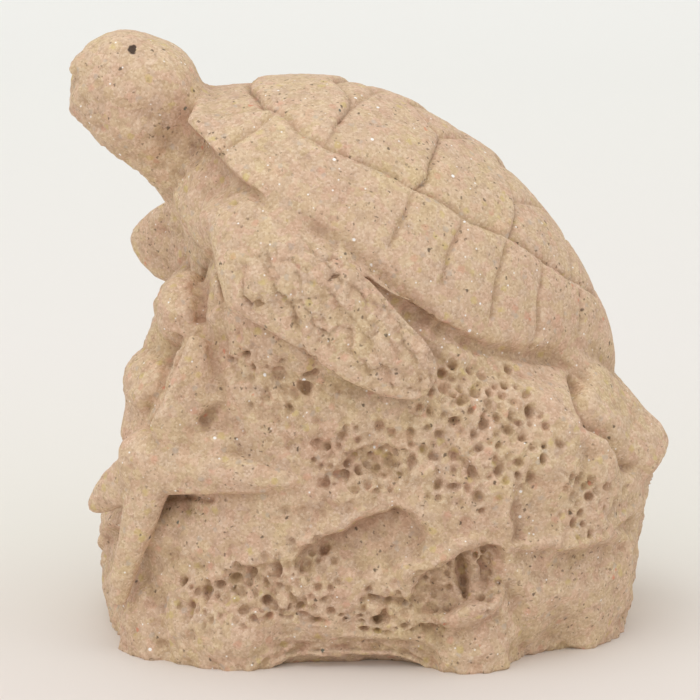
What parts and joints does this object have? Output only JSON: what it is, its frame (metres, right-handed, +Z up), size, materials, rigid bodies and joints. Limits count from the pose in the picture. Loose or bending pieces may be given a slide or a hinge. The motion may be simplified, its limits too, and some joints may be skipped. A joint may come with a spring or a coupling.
{
  "type": "cast sand sea turtle figurine",
  "caption": "Sea turtle with a raised head lying over a porous rock with a starfish, cast in sand with a flat base.",
  "frame": {"origin": "middle of the footprint, on the ground", "axes": "+X from the turtle's head towards its tail, +Y towards the turtle's side away from the starfish, +Z up"},
  "size_m": [0.0596, 0.0433, 0.0592],
  "materials": {
    "cast_sand": "rough"
  },
  "bodies": {
    "root": {"sand_turtle": "cast_sand"}
  },
  "joints": []
}
